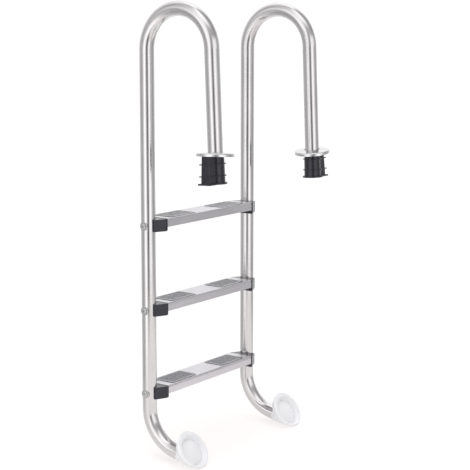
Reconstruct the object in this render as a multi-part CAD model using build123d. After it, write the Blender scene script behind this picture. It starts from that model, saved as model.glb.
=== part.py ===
from build123d import *
import math
import os

os.makedirs("parts", exist_ok=True)

# Frame: Z = 0 is the top of the right-hand deck anchor, X = 0 is midway between the rails and
# Y = 0 is the deck-leg axis at Z = 0. +Y points to the deck, -Y to the water. Millimetres.

# Rails: 43 mm tube, hook-shaped over the pool edge, swept in at the foot
tube_r = 21.5
tube_wall = 1.5
rail_spacing = 500.0
hook_reach = 230.0
hook_height = 285.0
leg_splay = 2.4
leg_end = -74.0
foot_bend_r = 120.0
foot_bend_turn = 80.0
foot_bend_top = -766.0
tube_into_bumper = 30.0

# Treads: folded sheet channels with two anti-slip pads each
tread_count = 3
tread_pitch = 250.0
first_tread_top = -201.0
tread_half_length = 214.0
tread_depth = 86.0
tread_height = 25.0
tread_sheet = 1.5
tread_fold_r = 4.0
tread_lip = 12.0
groove_drop = 5.4
groove_r = 1.1
pad_length = 122.0
pad_depth = 72.0
pad_centre = 124.0
pad_thickness = 1.6
pad_corner_r = 11.0
pad_rib_pitch = 6.0
pad_rib_width = 2.6
pad_rib_depth = 0.7

# End caps: saddle blocks between tread and tube
cap_height = 36.5
cap_below_tread = 1.0
cap_depth = 87.0
cap_shoulder = 220.0
cap_ear_reach = 256.5
cap_ear_outer = 27.0
cap_back_reach = 254.0
cap_back_outer = 24.6
cap_saddle_gap = 0.15
cap_corner_r = 5.0
cap_edge_r = 1.2
cap_foot_r = 4.5
cap_plug_length = 26.0
cap_plug_clearance = 0.4

# Tread fixings: M10 bolt through the tube into a nut held in the cap
bolt_below_top = 20.0
bolt_shank_r = 5.0
bolt_hole_r = 5.3
bolt_head_r = 7.4
bolt_head_height = 3.4
bolt_socket_af = 5.0
bolt_socket_depth = 2.4
nut_af = 17.0
nut_height = 8.0
nut_pocket_af = 17.4
thread_gap = 0.05
nut_inner_x = 199.0
saddle_r = 13.5
saddle_face = 21.9
saddle_gap = 0.05
saddle_edge_r = 1.2

# Rubber bumpers at the foot
bumper_r = 59.0
bumper_face_tilt = 35.0
bumper_centre_y = 163.0
bumper_centre_z = -864.0
bumper_lip = 5.0
bumper_rim_depth = 22.0
bumper_back_r = 49.0
bumper_sleeve_r = 24.6
bumper_bore_gap = 0.1
bumper_sleeve_start = 15.0
bumper_sleeve_end = 24.0
dish_mouth_r = 48.5
dish_groove_r = 39.5
dish_slope_depth = 9.0
dish_groove_depth = 12.0
dish_dome_depth = 5.5
dish_drop = 5.0

# Escutcheons: loose pressed covers over the anchors
cover_r = 54.0
cover_hole_r = 23.6
cover_rise = 12.5
cover_wall = 9.0
cover_shoulder_r = 4.0
cover_sheet = 1.2
cover_height = {1: 6.4, -1: 4.8}
cover_tilt = {1: 4.8, -1: 7.4}
cover_tilt_heading = {1: (-1.0, 0.035), -1: (0.957, 0.29)}

# Deck anchors: tube socket with a wedge housing on the outward side
anchor_drop = {1: 0.0, -1: -28.0}
anchor_height = 82.0
anchor_r = (24.2, 25.6)
lobe_reach = (47.0, 51.5)
lobe_half = (13.5, 15.5)
lobe_corner_r = 2.5
bore_clearance = 0.4
fin_levels = (25.0, 58.0)
fin_thickness = 3.2
fin_overhang = 4.0
flange_thickness = 5.0
flange_overhang = 5.5
slab_edge_r = 1.1
pocket_half = 10.0
pocket_top = 22.0
pocket_wall_top = 38.6
pocket_taper = 3.0
bolt_offset = 31.5
counterbore_r = 7.6
counterbore_depth = 10.0

# Wedge and its M8 clamping bolt
wedge_height = 40.0
wedge_top = 25.0
wedge_side_gap = 0.4
wedge_face_gap = 0.15
clamp_shank_r = 4.0
clamp_hole_r = 4.3
clamp_thread_hole_r = 4.1
clamp_head_r = 6.5
clamp_head_height = 8.0
clamp_socket_af = 6.0
clamp_socket_depth = 4.0
clamp_length = 58.0

pool_leg_y = -(hook_reach + hook_height * math.tan(math.radians(leg_splay)))
splay = math.radians(leg_splay)
sides = {"right": 1, "left": -1}


def leg_plane(side, drop=0.0):
    """Plane square to a deck leg, `drop` along its axis, local +X pointing away from the ladder."""
    axis = Vector(0, -math.sin(splay), math.cos(splay))
    origin = Vector(side * rail_spacing / 2, 0, 0) + axis * drop
    return Plane(origin=origin, x_dir=(side, 0, 0), z_dir=axis)


def tread_tops():
    return [first_tread_top - i * tread_pitch for i in range(tread_count)]


def mirrored(shape, side):
    return shape if side > 0 else shape.mirror(Plane.YZ)


def rail_path(x):
    """Centre line of one rail, from the deck-leg end over the hook to the foot."""
    hook_r = hook_reach / 2
    centre_y = pool_leg_y + hook_r

    def on_hook(angle):
        return (x, centre_y + hook_r * math.cos(angle), hook_height + hook_r * math.sin(angle))

    def on_foot(angle):
        return (x, pool_leg_y + foot_bend_r * (1 - math.cos(angle)),
                foot_bend_top - foot_bend_r * math.sin(angle))

    hook_start = on_hook(splay)
    turn = math.radians(foot_bend_turn)
    foot_end = on_foot(turn)
    length = (hook_start[2] - leg_end) / math.cos(splay)
    leg = Line((x, hook_start[1] + length * math.sin(splay), leg_end), hook_start)
    hook = ThreePointArc(hook_start, on_hook(math.pi / 2), on_hook(math.pi))
    drop = Line(on_hook(math.pi), on_foot(0))
    bend = ThreePointArc(on_foot(0), on_foot(turn / 2), foot_end)
    tail = Line(foot_end, (x, foot_end[1] + tube_into_bumper * math.sin(turn),
                           foot_end[2] - tube_into_bumper * math.cos(turn)))
    return Wire([leg, hook, drop, bend, tail])


def swept_rod(x, radius):
    path = rail_path(x)
    start = Plane(origin=path @ 0, z_dir=path % 0)
    return sweep(start * Circle(radius), path)


def foot_direction():
    turn = math.radians(foot_bend_turn)
    return Vector(0, math.sin(turn), -math.cos(turn))


def foot_point(x, along):
    """Point on the straight tail of a rail, `along` mm past the end of the foot bend."""
    turn = math.radians(foot_bend_turn)
    end = Vector(x, pool_leg_y + foot_bend_r * (1 - math.cos(turn)),
                 foot_bend_top - foot_bend_r * math.sin(turn))
    return end + foot_direction() * along


def outward_plane(x, z):
    """Plane on the pool-leg axis with its normal along +X."""
    return Plane(origin=(x, pool_leg_y, z), x_dir=(0, 1, 0), z_dir=(1, 0, 0))


def rail_right():
    """Right rail: swept tube with cross holes for the tread bolts."""
    x = rail_spacing / 2
    tube = swept_rod(x, tube_r) - swept_rod(x, tube_r - tube_wall)
    for top in tread_tops():
        bore = outward_plane(x - tube_r - 5, top - bolt_below_top)
        tube = tube - bore * Cylinder(bolt_hole_r, 2 * tube_r + 10,
                                      align=(Align.CENTER, Align.CENTER, Align.MIN))
    return tube


def tread(top):
    """Folded channel: flat deck, two flanges with a pressed groove each, inward lips."""
    half = tread_depth / 2
    outer = Rectangle(tread_depth, tread_height, align=(Align.CENTER, Align.MAX))
    outer = fillet(outer.vertices().group_by(Axis.Y)[-1], tread_fold_r)
    inner = Pos(0, -tread_sheet) * Rectangle(tread_depth - 2 * tread_sheet, tread_height - 2 * tread_sheet,
                                             align=(Align.CENTER, Align.MAX))
    inner = fillet(inner.vertices().group_by(Axis.Y)[-1], tread_fold_r - tread_sheet)
    slot = Pos(0, -tread_height) * Rectangle(tread_depth - 2 * tread_lip, 4 * tread_sheet)
    section = outer - inner - slot
    for sign in (-1, 1):
        section = section - Pos(sign * (half + groove_r * 0.4), -groove_drop) * Circle(groove_r)
    profile = Plane(origin=(-tread_half_length, pool_leg_y, top), x_dir=(0, 1, 0), z_dir=(1, 0, 0)) * section
    return extrude(profile, amount=2 * tread_half_length)


def pad(side, top):
    """Anti-slip pad: rounded slab with cross ribs."""
    slab = extrude(RectangleRounded(pad_length, pad_depth, pad_corner_r), amount=pad_thickness)
    slab = chamfer(slab.edges().group_by(Axis.Z)[-1], 0.5)
    count = int((pad_depth - 10.0) / pad_rib_pitch)
    gap = Box(pad_length - 12.0, pad_rib_pitch - pad_rib_width, 2 * pad_rib_depth)
    gaps = [Pos(0, (i - (count - 1) / 2) * pad_rib_pitch, pad_thickness) * gap for i in range(count)]
    slab = slab - gaps
    return Pos(side * pad_centre, pool_leg_y, top) * slab


def cap_right(top):
    """Right end cap: outer block hollowed to seat on the tube, with a plug inside the channel."""
    x0 = tread_half_length
    half = cap_depth / 2
    with BuildSketch() as plan:
        with BuildLine():
            Polyline((x0, -half), (cap_shoulder, -half), (cap_back_reach, -cap_back_outer),
                     (cap_back_reach, 0), (cap_ear_reach, 0), (cap_ear_reach, cap_ear_outer),
                     (cap_shoulder, half), (x0, half), close=True)
        make_face()
        fillet(plan.vertices().group_by(Axis.X)[1], cap_corner_r)
    block = extrude(plan.sketch, amount=cap_height)
    block = fillet(block.edges().group_by(Axis.Z)[-1], cap_edge_r)
    block = fillet(block.edges().group_by(Axis.Z)[0], cap_foot_r)
    block = Pos(0, pool_leg_y, top - cap_below_tread - cap_height) * block
    plug_depth = tread_depth - 2 * (tread_sheet + cap_plug_clearance)
    plug_height = tread_height - 2 * (tread_sheet + cap_plug_clearance)
    plug = Box(cap_plug_length + 2, plug_depth, plug_height, align=(Align.MAX, Align.CENTER, Align.MAX))
    plug = fillet(plug.edges().filter_by(Axis.X).group_by(Axis.Z)[-1], tread_fold_r - tread_sheet)
    plug = Pos(x0 + 2, pool_leg_y, top - tread_sheet - cap_plug_clearance) * plug
    body = block + plug
    body = body - Pos(rail_spacing / 2, pool_leg_y, top) * Cylinder(tube_r + cap_saddle_gap, 4 * cap_height)
    z = top - bolt_below_top
    body = body - outward_plane(0, z) * Cylinder(bolt_hole_r, rail_spacing / 2,
                                                 align=(Align.CENTER, Align.CENTER, Align.MIN))
    pocket = RegularPolygon(nut_pocket_af / 2, 6, major_radius=False)
    body = body - outward_plane(0, z) * extrude(pocket, amount=nut_inner_x + nut_height)
    return body


def tread_bolt_right(z):
    """Button-head bolt lying along X, its head on the flat face of the saddle washer."""
    seat = rail_spacing / 2 + saddle_face
    plane = outward_plane(seat, z)
    shank_length = seat - nut_inner_x + 1.0
    head = plane * Cylinder(bolt_head_r, bolt_head_height, align=(Align.CENTER, Align.CENTER, Align.MIN))
    head = fillet(head.edges().filter_by(GeomType.CIRCLE).group_by(Axis.X)[-1], bolt_head_height * 0.7)
    shank = plane * Cylinder(bolt_shank_r, shank_length, align=(Align.CENTER, Align.CENTER, Align.MAX))
    socket = extrude(RegularPolygon(bolt_socket_af / 2, 6, major_radius=False), amount=bolt_head_height)
    socket = outward_plane(seat + bolt_head_height - bolt_socket_depth, z) * socket
    return head + shank - socket


def washer_right(z):
    """Saddle washer: flat outside, hollow inside to sit on the tube."""
    plane = outward_plane(rail_spacing / 2, z)
    disc = Cylinder(saddle_r, saddle_face, align=(Align.CENTER, Align.CENTER, Align.MIN))
    disc = fillet(disc.edges().filter_by(GeomType.CIRCLE).sort_by(Axis.Z)[-1], saddle_edge_r)
    tube_space = Pos(rail_spacing / 2, pool_leg_y, z) * Cylinder(tube_r + saddle_gap, 4 * saddle_r)
    return plane * (disc - Cylinder(bolt_hole_r, 4 * saddle_face)) - tube_space


def nut_right(z):
    plane = outward_plane(nut_inner_x, z)
    body = extrude(RegularPolygon(nut_af / 2, 6, major_radius=False), amount=nut_height)
    return plane * (body - Cylinder(bolt_shank_r + thread_gap, 4 * nut_height))


def bumper_right():
    """Rubber bumper: round face square to the wall, flared back and a sleeve over the tube."""
    x = rail_spacing / 2
    tilt = math.radians(bumper_face_tilt)
    normal = Vector(0, math.cos(tilt), math.sin(tilt))
    centre = Vector(x, pool_leg_y + bumper_centre_y, bumper_centre_z)
    face = Plane(origin=centre, x_dir=(1, 0, 0), z_dir=normal)
    back = Plane(origin=centre - normal * bumper_rim_depth, x_dir=(1, 0, 0), z_dir=normal)
    with BuildSketch(Plane.XZ) as half_section:
        with BuildLine():
            Polyline((0, -bumper_rim_depth), (bumper_back_r, -bumper_rim_depth),
                     (bumper_r, -bumper_lip), (bumper_r - 0.6 * bumper_lip, 0), (0, 0), close=True)
        make_face()
    disc = face * revolve(half_section.sketch, Axis.Z)
    sleeve_start = Plane(origin=foot_point(x, bumper_sleeve_start), x_dir=(1, 0, 0), z_dir=foot_direction())
    sleeve_end = Plane(origin=foot_point(x, bumper_sleeve_end), x_dir=(1, 0, 0), z_dir=foot_direction())
    sleeve = loft([sleeve_start * Circle(bumper_sleeve_r - 1.0), sleeve_end * Circle(bumper_sleeve_r)])
    flare = loft([sleeve_end * Circle(bumper_sleeve_r), back * Circle(bumper_back_r)])
    body = disc + sleeve + flare
    tube_space = Plane(origin=foot_point(x, 0), x_dir=(1, 0, 0), z_dir=foot_direction())
    body = body - tube_space * Cylinder(tube_r + bumper_bore_gap, tube_into_bumper,
                                        align=(Align.CENTER, Align.CENTER, Align.MIN))
    dome_rise = dish_groove_depth - dish_dome_depth
    dome_r = (dish_groove_r ** 2 + dome_rise ** 2) / (2 * dome_rise)
    with BuildSketch(Plane.XZ) as dish_section:
        with BuildLine():
            Polyline((0, 1), (dish_mouth_r, 1), (dish_mouth_r, 0),
                     (dish_groove_r + 1.5, -dish_slope_depth), (dish_groove_r, -dish_groove_depth))
            RadiusArc((dish_groove_r, -dish_groove_depth), (0, -dish_dome_depth), -dome_r)
            Line((0, -dish_dome_depth), (0, 1))
        make_face()
    return body - face * Pos(0, dish_drop, 0) * revolve(dish_section.sketch, Axis.Z)


def escutcheon(side):
    """Loose cover: upright rim, rounded shoulder and a low cone, canted on the leg."""
    inner_r = cover_r - cover_sheet
    with BuildSketch(Plane.XZ) as section:
        with BuildLine():
            Polyline(
                (inner_r, 0), (cover_r, 0), (cover_r, cover_wall), (cover_hole_r, cover_rise),
                (cover_hole_r, cover_rise - cover_sheet), (inner_r, cover_wall - cover_sheet), close=True,
            )
        make_face()
        corners = section.vertices().group_by(Axis.X)
        fillet(corners[-1].sort_by(Axis.Y)[-1], cover_shoulder_r)
        fillet(corners[-2].sort_by(Axis.Y)[-1], cover_shoulder_r - cover_sheet)
    dome = Pos(0, 0, -cover_rise) * revolve(section.sketch, Axis.Z)
    heading = cover_tilt_heading[side]
    plane = leg_plane(side, anchor_drop[side] + cover_height[side])
    turn_axis = Axis((0, 0, 0), (-heading[1], heading[0], 0))
    return Pos(plane.origin) * Rot(math.degrees(splay), 0, 0) * dome.rotate(turn_axis, cover_tilt[side])


def lobed_slab(plane, depth, overhang, thickness):
    """Slab with the anchor's outline at `depth`: a disc round the tube and a block to the outside."""
    share = depth / anchor_height
    radius, reach, half = (low + (high - low) * share for low, high in (anchor_r, lobe_reach, lobe_half))
    disc = Cylinder(radius + overhang, thickness, align=(Align.CENTER, Align.CENTER, Align.MIN))
    block = Box(reach + overhang, 2 * (half + overhang), thickness,
                align=(Align.MIN, Align.CENTER, Align.MIN))
    slab = disc + block
    rims = slab.edges().group_by(Axis.Z)
    return plane * fillet(rims[0] + rims[-1], slab_edge_r)


def anchor(side):
    """Deck anchor: a tapering socket, hollow for tube, wedge and clamping bolt, with fins."""
    drop = anchor_drop[side]
    bottom = leg_plane(side, drop - anchor_height)
    top = leg_plane(side, drop)
    barrel = bottom * Cone(anchor_r[1], anchor_r[0], anchor_height,
                           align=(Align.CENTER, Align.CENTER, Align.MIN))
    foot_block = Pos(lobe_reach[1] / 2, 0, 0) * Rectangle(lobe_reach[1], 2 * lobe_half[1])
    top_block = Pos(lobe_reach[0] / 2, 0, anchor_height) * Rectangle(lobe_reach[0], 2 * lobe_half[0])
    housing = loft([foot_block, top_block])
    corners = housing.edges().sort_by(Axis.X)[-6:].filter_by(lambda e: e.length > 50)
    housing = bottom * fillet(corners, lobe_corner_r)
    body = barrel + housing
    for level in fin_levels:
        body = body + lobed_slab(leg_plane(side, drop - level - fin_thickness / 2), level, fin_overhang,
                                 fin_thickness)
    body = body + lobed_slab(bottom, anchor_height, flange_overhang, flange_thickness)
    bore = bottom * Pos(0, 0, -1) * Cylinder(tube_r + bore_clearance, anchor_height + 2,
                                             align=(Align.CENTER, Align.CENTER, Align.MIN))
    lowest = anchor_height + 1
    wall_bottom = pocket_wall_top + (lowest - pocket_top) * math.tan(math.radians(pocket_taper))
    with BuildSketch(Plane.XZ) as wedge_space:
        with BuildLine():
            Polyline((0, -pocket_top), (pocket_wall_top, -pocket_top), (wall_bottom, -lowest),
                     (0, -lowest), close=True)
        make_face()
    pocket = extrude(wedge_space.sketch, amount=pocket_half, both=True)
    bolt_hole = Pos(bolt_offset, 0, 0) * Cylinder(clamp_hole_r, 3 * pocket_top)
    recess = Pos(bolt_offset, 0, 1) * Cylinder(counterbore_r, counterbore_depth + 1,
                                              align=(Align.CENTER, Align.CENTER, Align.MAX))
    return body - bore - top * (pocket + bolt_hole + recess)


def wedge(side):
    """Sliding wedge: hollow face to the tube, tapered back to the housing wall."""
    slope = math.tan(math.radians(pocket_taper))
    back_top = pocket_wall_top + (wedge_top - pocket_top) * slope - wedge_face_gap
    back_bottom = back_top + wedge_height * slope
    half = pocket_half - wedge_side_gap
    with BuildSketch(Plane.XZ) as profile:
        with BuildLine():
            Polyline((tube_r * 0.8, -wedge_top), (back_top, -wedge_top),
                     (back_bottom, -wedge_top - wedge_height), (tube_r * 0.8, -wedge_top - wedge_height),
                     close=True)
        make_face()
    body = extrude(profile.sketch, amount=half, both=True)
    body = body - Cylinder(tube_r + bore_clearance, 4 * anchor_height)
    body = body - Pos(bolt_offset, 0, 0) * Cylinder(clamp_thread_hole_r, 4 * anchor_height)
    return leg_plane(side, anchor_drop[side]) * body


def wedge_bolt(side):
    """M8 socket-head bolt hanging in the housing, screwed through the wedge."""
    seat = -counterbore_depth
    head = Pos(0, 0, seat) * Cylinder(clamp_head_r, clamp_head_height,
                                      align=(Align.CENTER, Align.CENTER, Align.MIN))
    head = chamfer(head.edges().group_by(Axis.Z)[-1], 0.8)
    shank = Pos(0, 0, seat) * Cylinder(clamp_shank_r, clamp_length,
                                       align=(Align.CENTER, Align.CENTER, Align.MAX))
    socket = extrude(RegularPolygon(clamp_socket_af / 2, 6, major_radius=False), amount=clamp_head_height)
    socket = Pos(0, 0, seat + clamp_head_height - clamp_socket_depth) * socket
    return leg_plane(side, anchor_drop[side]) * Pos(bolt_offset, 0, 0.1) * (head + shank - socket)


def save(shape, name):
    shape.label = name
    export_step(shape, f"parts/{name}.step")


rail = rail_right()
foot = bumper_right()
for name, side in sides.items():
    save(mirrored(rail, side), f"rail_{name}")
    save(mirrored(foot, side), f"bumper_{name}")
    save(escutcheon(side), f"escutcheon_{name}")
    save(anchor(side), f"anchor_{name}")
    save(wedge(side), f"wedge_{name}")
    save(wedge_bolt(side), f"wedge_bolt_{name}")

bolts, washers, nuts = [], [], []
for number, top in enumerate(tread_tops(), start=1):
    save(tread(top), f"tread_{number}")
    cap = cap_right(top)
    height = top - bolt_below_top
    for name, side in sides.items():
        save(pad(side, top), f"pad_{number}_{name}")
        save(mirrored(cap, side), f"cap_{number}_{name}")
        bolts.append(mirrored(tread_bolt_right(height), side))
        washers.append(mirrored(washer_right(height), side))
        nuts.append(mirrored(nut_right(height), side))

save(Compound(children=bolts), "tread_bolts")
save(Compound(children=washers), "tread_washers")
save(Compound(children=nuts), "tread_nuts")
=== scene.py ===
import math

import bpy
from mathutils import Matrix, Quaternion, Vector


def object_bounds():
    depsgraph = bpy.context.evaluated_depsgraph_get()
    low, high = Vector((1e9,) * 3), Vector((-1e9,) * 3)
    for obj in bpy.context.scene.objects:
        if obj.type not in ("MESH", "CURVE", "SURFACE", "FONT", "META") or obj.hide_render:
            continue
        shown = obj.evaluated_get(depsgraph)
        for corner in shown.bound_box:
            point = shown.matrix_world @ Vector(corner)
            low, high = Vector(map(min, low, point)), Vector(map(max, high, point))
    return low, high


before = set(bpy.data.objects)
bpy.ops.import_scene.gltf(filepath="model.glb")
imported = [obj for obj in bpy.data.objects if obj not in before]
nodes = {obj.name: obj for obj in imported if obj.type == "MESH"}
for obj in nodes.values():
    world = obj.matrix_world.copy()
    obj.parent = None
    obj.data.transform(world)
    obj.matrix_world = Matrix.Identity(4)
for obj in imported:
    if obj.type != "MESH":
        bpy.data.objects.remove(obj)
cad_low, cad_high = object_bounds()
scene = bpy.context.scene

# ---------------------------------------------------------------- camera
CAMERA_AT = (3.1978, 2.1666, 0.3638)
YAW, PITCH, ROLL = math.radians(35.46), math.radians(9.157), math.radians(0.087)
SENSOR_MM = 36.0
LENS_MM = 101.45
CLIP_END = 80.0

forward = Vector((-math.cos(YAW) * math.cos(PITCH), -math.sin(YAW) * math.cos(PITCH), -math.sin(PITCH)))
cam_data = bpy.data.cameras.new("camera")
cam_data.sensor_width = SENSOR_MM
cam_data.lens = LENS_MM
cam_data.clip_end = CLIP_END
cam = bpy.data.objects.new("camera", cam_data)
scene.collection.objects.link(cam)
cam.location = CAMERA_AT
cam.rotation_mode = "QUATERNION"
cam.rotation_quaternion = forward.to_track_quat("-Z", "Y") @ Quaternion((0, 0, 1), ROLL)
scene.camera = cam
scene.view_settings.view_transform = "Standard"


# ---------------------------------------------------------------- node helpers
class Tree:
    """Short way to write a node tree. Texture scales are per metre, bump distances in metres."""

    def __init__(self, tree):
        self.tree = tree

    def node(self, kind, **values):
        new = self.tree.nodes.new(kind)
        for key, value in values.items():
            if key == "inputs":
                for name, item in value.items():
                    self.put(new.inputs[name], item)
            else:
                setattr(new, key, value)
        return new

    def put(self, socket, item):
        """Link a socket to a socket, or set its value."""
        if isinstance(item, bpy.types.NodeSocket):
            self.tree.links.new(item, socket)
        else:
            socket.default_value = item

    def math(self, operation, a, b=None, c=None, clamp=False):
        new = self.node("ShaderNodeMath", operation=operation, use_clamp=clamp)
        for index, item in enumerate((a, b, c)):
            if item is not None:
                self.put(new.inputs[index], item)
        return new.outputs[0]

    def add_part(self, value, part, base, clamp=False):
        """base + value * part"""
        return self.math("MULTIPLY_ADD", value, part, base, clamp)

    def dot(self, a, b):
        new = self.node("ShaderNodeVectorMath", operation="DOT_PRODUCT", inputs={0: a, 1: b})
        return new.outputs["Value"]

    def ramp(self, factor, stops, mode="LINEAR"):
        new = self.node("ShaderNodeValToRGB")
        new.color_ramp.interpolation = mode
        elements = new.color_ramp.elements
        while len(elements) < len(stops):
            elements.new(0.5)
        for element, (position, value) in zip(elements, stops):
            element.position = position
            element.color = (value, value, value, 1) if isinstance(value, (int, float)) else (*value, 1)
        self.put(new.inputs[0], factor)
        return new.outputs[0]

    def noise(self, vector, scale, detail=3.0, roughness=0.5):
        new = self.node("ShaderNodeTexNoise")
        self.put(new.inputs["Vector"], vector)
        self.put(new.inputs["Scale"], scale)
        self.put(new.inputs["Detail"], detail)
        self.put(new.inputs["Roughness"], roughness)
        return new.outputs[0]

    def cells(self, vector, scale):
        """Distance from the middle of the nearest cell."""
        new = self.node("ShaderNodeTexVoronoi", inputs={"Vector": vector, "Scale": scale})
        return new.outputs["Distance"]

    def stretched(self, vector, scale):
        new = self.node("ShaderNodeMapping")
        self.put(new.inputs["Vector"], vector)
        self.put(new.inputs["Scale"], scale)
        return new.outputs[0]

    def span(self, factor, low, high, start=0.0, end=1.0):
        """low where the factor is at start, high where it is at end."""
        new = self.node("ShaderNodeMapRange")
        for index, item in enumerate((factor, start, end, low, high)):
            self.put(new.inputs[index], item)
        return new.outputs[0]

    def mix(self, factor, a, b):
        new = self.node("ShaderNodeMix", data_type="RGBA", blend_type="MIX")
        self.put(new.inputs[0], factor)
        self.put(new.inputs[6], a)
        self.put(new.inputs[7], b)
        return new.outputs[2]

    def bump(self, height, strength, distance):
        new = self.node("ShaderNodeBump")
        self.put(new.inputs["Height"], height)
        self.put(new.inputs["Strength"], strength)
        self.put(new.inputs["Distance"], distance)
        return new.outputs[0]


def material(name):
    """A new material with its tree, its shader and the piece's own coordinates."""
    new = bpy.data.materials.new(name)
    new.use_nodes = True
    tree = Tree(new.node_tree)
    shader = new.node_tree.nodes["Principled BSDF"]
    place = tree.node("ShaderNodeTexCoord").outputs["Object"]
    return new, tree, shader, place


# ---------------------------------------------------------------- materials
def polished_steel():
    """Mirror-polished tube: faint smears, fine polishing lines and water spots."""
    new, tree, shader, place = material("tube_steel")
    lines = tree.noise(tree.stretched(place, (420.0, 420.0, 9.0)), scale=1.0, detail=4.0, roughness=0.6)
    smear = tree.noise(place, scale=14.0, detail=4.0, roughness=0.6)
    spot = tree.ramp(tree.cells(place, scale=70.0), [(0.0, 1.0), (0.05, 0.7), (0.09, 0.0)])
    rough = tree.span(smear, low=0.13, high=0.19, start=0.3, end=0.75)
    rough = tree.add_part(lines, 0.02, rough)
    rough = tree.add_part(spot, 0.05, rough)
    tree.put(shader.inputs["Roughness"], rough)
    tint = tree.ramp(smear, [(0.25, (0.615, 0.60, 0.605)), (0.8, (0.68, 0.665, 0.665))])
    tree.put(shader.inputs["Base Color"], tint)
    shader.inputs["Metallic"].default_value = 1.0
    tree.put(shader.inputs["Normal"], tree.bump(lines, strength=0.012, distance=0.00002))
    return new


def brushed_sheet():
    """Satin sheet for the treads, brushed along its length."""
    new, tree, shader, place = material("tread_steel")
    fine = tree.noise(tree.stretched(place, (14.0, 1500.0, 1500.0)), scale=1.0, detail=3.0, roughness=0.65)
    broad = tree.noise(tree.stretched(place, (4.0, 160.0, 160.0)), scale=1.0, detail=3.0, roughness=0.6)
    smear = tree.noise(place, scale=11.0, detail=4.0, roughness=0.6)
    rough = tree.add_part(smear, 0.08, tree.span(fine, low=0.26, high=0.42, start=0.3, end=0.7))
    tree.put(shader.inputs["Roughness"], rough)
    tint = tree.mix(smear, (0.60, 0.585, 0.615, 1), (0.70, 0.685, 0.705, 1))
    streaks = tree.span(broad, low=0.0, high=0.22, start=0.35, end=0.7)
    tree.put(shader.inputs["Base Color"], tree.mix(streaks, tint, (0.50, 0.49, 0.53, 1)))
    shader.inputs["Metallic"].default_value = 1.0
    shader.inputs["Anisotropic"].default_value = 0.4
    height = tree.add_part(broad, 0.4, fine)
    tree.put(shader.inputs["Normal"], tree.bump(height, strength=0.25, distance=0.00005))
    return new


def small_steel(name, smear_scale, grain_scale, dark, light, rough, grain_rough, strength, distance):
    """Smeared steel with a fine grain, for the covers and the fasteners."""
    new, tree, shader, place = material(name)
    smear = tree.noise(place, scale=smear_scale, detail=4.0, roughness=0.6)
    grain = tree.noise(place, scale=grain_scale, detail=2.0, roughness=0.5)
    base_rough = tree.span(smear, low=rough[0], high=rough[1], start=0.3, end=0.7)
    tree.put(shader.inputs["Roughness"], tree.add_part(grain, grain_rough, base_rough))
    tree.put(shader.inputs["Base Color"], tree.ramp(smear, [(0.3, dark), (0.8, light)]))
    shader.inputs["Metallic"].default_value = 1.0
    tree.put(shader.inputs["Normal"], tree.bump(grain, strength, distance))
    return new


def cover_steel():
    """Spun and polished cover."""
    return small_steel("cover_steel", smear_scale=30.0, grain_scale=900.0, dark=(0.62, 0.62, 0.635),
                       light=(0.70, 0.70, 0.705), rough=(0.08, 0.17), grain_rough=0.05, strength=0.08,
                       distance=0.00003)


def fastener_steel():
    """Cold-headed stainless fasteners: slightly dull, tumbled surface."""
    return small_steel("fastener_steel", smear_scale=160.0, grain_scale=1800.0, dark=(0.50, 0.50, 0.51),
                       light=(0.66, 0.655, 0.65), rough=(0.16, 0.3), grain_rough=0.08, strength=0.2,
                       distance=0.00005)


def grip_pad():
    """Purple-grey anti-slip strip with a fine pebble grain, glossy at a low angle."""
    new, tree, shader, place = material("grip_pad")
    pebble = tree.cells(place, scale=900.0)
    patch = tree.noise(place, scale=26.0, detail=5.0, roughness=0.6)
    dust = tree.noise(place, scale=260.0, detail=4.0, roughness=0.6)
    tint = tree.mix(patch, (0.030, 0.027, 0.048, 1), (0.055, 0.051, 0.078, 1))
    dusty = tree.span(dust, low=0.0, high=0.3, start=0.45, end=0.75)
    tree.put(shader.inputs["Base Color"], tree.mix(dusty, tint, (0.13, 0.13, 0.14, 1)))
    tree.put(shader.inputs["Roughness"], tree.span(dust, low=0.2, high=0.32, start=0.3, end=0.7))
    shader.inputs["Specular IOR Level"].default_value = 0.8
    shader.inputs["Coat Weight"].default_value = 1.0
    shader.inputs["Coat Roughness"].default_value = 0.12
    tree.put(shader.inputs["Normal"], tree.bump(pebble, strength=0.15, distance=0.0001))
    return new


def moulded_plastic(name, dark, light, rough):
    """Injection-moulded plastic with a spark-eroded grain and scuffs."""
    new, tree, shader, place = material(name)
    grain = tree.noise(place, scale=1400.0, detail=3.0, roughness=0.6)
    patch = tree.noise(place, scale=40.0, detail=4.0, roughness=0.6)
    scuff = tree.noise(tree.stretched(place, (60.0, 90.0, 700.0)), scale=1.0, detail=3.0, roughness=0.7)
    scuff = tree.span(scuff, low=0.0, high=1.0, start=0.62, end=0.74)
    tint = tree.mix(patch, (*dark, 1), (*light, 1))
    scuff_share = tree.math("MULTIPLY", scuff, 0.15, clamp=True)
    tree.put(shader.inputs["Base Color"], tree.mix(scuff_share, tint, (0.16, 0.165, 0.18, 1)))
    base_rough = tree.span(patch, low=rough[0], high=rough[1], start=0.3, end=0.7)
    tree.put(shader.inputs["Roughness"], tree.add_part(scuff, 0.12, base_rough, clamp=True))
    tree.put(shader.inputs["Normal"], tree.bump(grain, strength=0.18, distance=0.00008))
    return new


def black_plastic():
    return moulded_plastic("black_plastic", dark=(0.008, 0.0078, 0.014), light=(0.020, 0.0195, 0.031),
                           rough=(0.13, 0.22))


def wedge_plastic():
    return moulded_plastic("wedge_plastic", dark=(0.03, 0.03, 0.033), light=(0.05, 0.05, 0.055),
                           rough=(0.35, 0.5))


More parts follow.
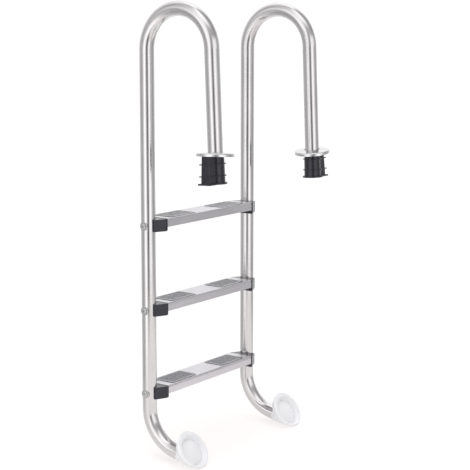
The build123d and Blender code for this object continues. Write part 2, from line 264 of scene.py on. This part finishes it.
def bumper_rubber():
    """Milky white rubber, slightly translucent, with a fine matt grain."""
    new, tree, shader, place = material("bumper_rubber")
    grain = tree.noise(place, scale=1100.0, detail=3.0, roughness=0.6)
    patch = tree.noise(place, scale=22.0, detail=5.0, roughness=0.6)
    tint = tree.mix(patch, (0.745, 0.75, 0.77, 1), (0.81, 0.812, 0.83, 1))
    tree.put(shader.inputs["Base Color"], tint)
    tree.put(shader.inputs["Roughness"], tree.span(patch, low=0.38, high=0.52, start=0.3, end=0.7))
    shader.inputs["Subsurface Weight"].default_value = 0.25
    shader.inputs["Subsurface Radius"].default_value = (1.0, 0.95, 0.95)
    shader.inputs["Subsurface Scale"].default_value = 0.004
    tree.put(shader.inputs["Normal"], tree.bump(grain, strength=0.2, distance=0.0001))
    return new


finishes = {
    "rail": polished_steel(),
    "tread_": brushed_sheet(),
    "escutcheon": cover_steel(),
    "fastener": fastener_steel(),
    "pad": grip_pad(),
    "plastic": black_plastic(),
    "wedge": wedge_plastic(),
    "bumper": bumper_rubber(),
}


def finish_of(name):
    if "bolt" in name or "nut" in name or "washer" in name:
        return finishes["fastener"]
    if name.startswith(("cap", "anchor")):
        return finishes["plastic"]
    return next(mat for prefix, mat in finishes.items() if name.startswith(prefix))


for name, obj in nodes.items():
    obj.data.materials.clear()
    obj.data.materials.append(finish_of(name))

# ---------------------------------------------------------------- floor and backdrop
FLOOR_AT = Vector((0.3, 0.9, cad_low.z))
FLOOR_R = 2.0
FLOOR_FADE = 0.9
FLOOR_GREY = (0.36, 0.352, 0.352, 1)
FLOOR_GLOW = (1.0, 0.968, 0.958, 1)
FLOOR_GLOW_STRENGTH = 0.64
BACKDROP_R = 30.0
BACKDROP_STRENGTH = 1.05


def floor_surface():
    """Nearly white floor that glows, so that only contact shadows show, and fades out at its rim."""
    new, tree, shader, place = material("floor")
    shader.inputs["Base Color"].default_value = FLOOR_GREY
    shader.inputs["Emission Color"].default_value = FLOOR_GLOW
    shader.inputs["Emission Strength"].default_value = FLOOR_GLOW_STRENGTH
    shader.inputs["Roughness"].default_value = 0.9
    shader.inputs["Specular IOR Level"].default_value = 0.0
    distance = tree.node("ShaderNodeVectorMath", operation="LENGTH", inputs={0: place}).outputs["Value"]
    fade = tree.span(distance, low=1.0, high=0.0, start=FLOOR_R - FLOOR_FADE, end=FLOOR_R)
    tree.put(shader.inputs["Alpha"], fade)
    return new


def backdrop_surface():
    new = bpy.data.materials.new("backdrop")
    new.use_nodes = True
    new.node_tree.nodes.clear()
    tree = Tree(new.node_tree)
    glow = tree.node("ShaderNodeEmission", inputs={"Color": (1, 1, 1, 1), "Strength": BACKDROP_STRENGTH})
    out = tree.node("ShaderNodeOutputMaterial")
    tree.put(out.inputs["Surface"], glow.outputs[0])
    return new


bpy.ops.mesh.primitive_circle_add(vertices=128, radius=FLOOR_R, fill_type="NGON", location=FLOOR_AT)
floor = bpy.context.object
floor.name = "floor"
floor.data.materials.append(floor_surface())

bpy.ops.mesh.primitive_uv_sphere_add(segments=48, ring_count=24, radius=BACKDROP_R, location=(0, 0, 0))
backdrop = bpy.context.object
backdrop.name = "backdrop"
backdrop.data.materials.append(backdrop_surface())
for ray in ("diffuse", "glossy", "transmission", "volume_scatter", "shadow"):
    setattr(backdrop, "visible_" + ray, False)

# ---------------------------------------------------------------- studio that the steel reflects
FACING = math.radians(33.0)
WORLD_STRENGTH = 1.5

# Brightness round the studio at four heights, as (degrees round from FACING, radiance)
LOW_BAND = [
    (-145, 1.0), (-112, 0.66), (-82, 0.50), (-60, 0.74), (-42, 1.4), (-27, 1.7), (-13, 0.95), (-2, 0.35),
    (8, 0.10), (18, 0.45), (29, 1.3), (45, 1.6), (60, 1.15), (78, 0.60), (100, 0.46), (122, 0.60),
    (150, 1.05),
]
DESK_BAND = [
    (-145, 1.1), (-115, 0.9), (-92, 0.55), (-72, 1.0), (-50, 1.6), (-22, 1.45), (-6, 0.8), (5, 0.45),
    (15, 0.55), (34, 1.35), (55, 1.4), (75, 1.1), (92, 0.65), (120, 0.5), (150, 1.1),
]
WALL_BAND = [
    (-140, 1.1), (-115, 0.8), (-92, 0.5), (-70, 0.8), (-50, 1.2), (-30, 1.45), (-8, 0.95), (8, 0.6),
    (30, 0.62), (60, 0.58), (90, 0.45), (118, 0.42), (140, 0.8), (160, 1.25),
]
ROOF_BAND = [
    (-140, 1.4), (-118, 1.0), (-90, 0.7), (-60, 0.85), (-35, 1.3), (-10, 1.6), (30, 1.5), (60, 0.9),
    (90, 0.5), (120, 0.45), (145, 1.0), (165, 1.5),
]

# Degrees above the horizon between which one band turns into the next
LOW_TO_DESK = (1.0, 7.0)
DESK_TO_WALL = (19.0, 27.0)
WALL_TO_ROOF = (38.0, 52.0)

world = bpy.data.worlds.new("world")
scene.world = world
world.use_nodes = True
tree = Tree(world.node_tree)
ray = tree.node("ShaderNodeTexCoord").outputs["Generated"]
ahead = tree.dot(ray, (math.cos(FACING), math.sin(FACING), 0))
aside = tree.dot(ray, (-math.sin(FACING), math.cos(FACING), 0))
turn = tree.math("MULTIPLY_ADD", tree.math("ARCTAN2", aside, ahead), 0.5 / math.pi, 0.5)
height = tree.node("ShaderNodeSeparateXYZ", inputs={0: ray}).outputs["Z"]
rise = tree.math("MULTIPLY", tree.math("ARCSINE", height), 180 / math.pi)


def ring(stops):
    """One band as a ramp round the full turn, closed behind at its last stop's brightness."""
    behind = stops[-1][1]
    full = [(-180, behind)] + stops + [(180, behind)]
    places = [(0.5 + angle / 360, radiance / WORLD_STRENGTH) for angle, radiance in full]
    return tree.ramp(turn, places, "EASE")


def above(colour, band, edge):
    """The band's ring over `colour`, from the rise at the start of `edge` to its end."""
    share = tree.span(rise, low=0.0, high=1.0, start=edge[0], end=edge[1])
    return tree.mix(share, colour, ring(band))


colour = above(ring(LOW_BAND), DESK_BAND, LOW_TO_DESK)
colour = above(colour, WALL_BAND, DESK_TO_WALL)
colour = above(colour, ROOF_BAND, WALL_TO_ROOF)
background = world.node_tree.nodes["Background"]
tree.put(background.inputs["Color"], colour)
background.inputs["Strength"].default_value = WORLD_STRENGTH

# ---------------------------------------------------------------- light from above
TOP_BOX_AT = Vector((0.3, 0.2, 3.2))
TOP_BOX_AIM = Vector((0, 0, -0.5))
TOP_BOX_SIZE = 4.5
TOP_BOX_WATTS = 75

top_data = bpy.data.lights.new("top_box", "AREA")
top_data.shape = "SQUARE"
top_data.size = TOP_BOX_SIZE
top_data.energy = TOP_BOX_WATTS
top_box = bpy.data.objects.new("top_box", top_data)
scene.collection.objects.link(top_box)
top_box.location = TOP_BOX_AT
top_box.rotation_euler = (TOP_BOX_AIM - TOP_BOX_AT).to_track_quat("-Z", "Y").to_euler()
top_box.visible_glossy = False
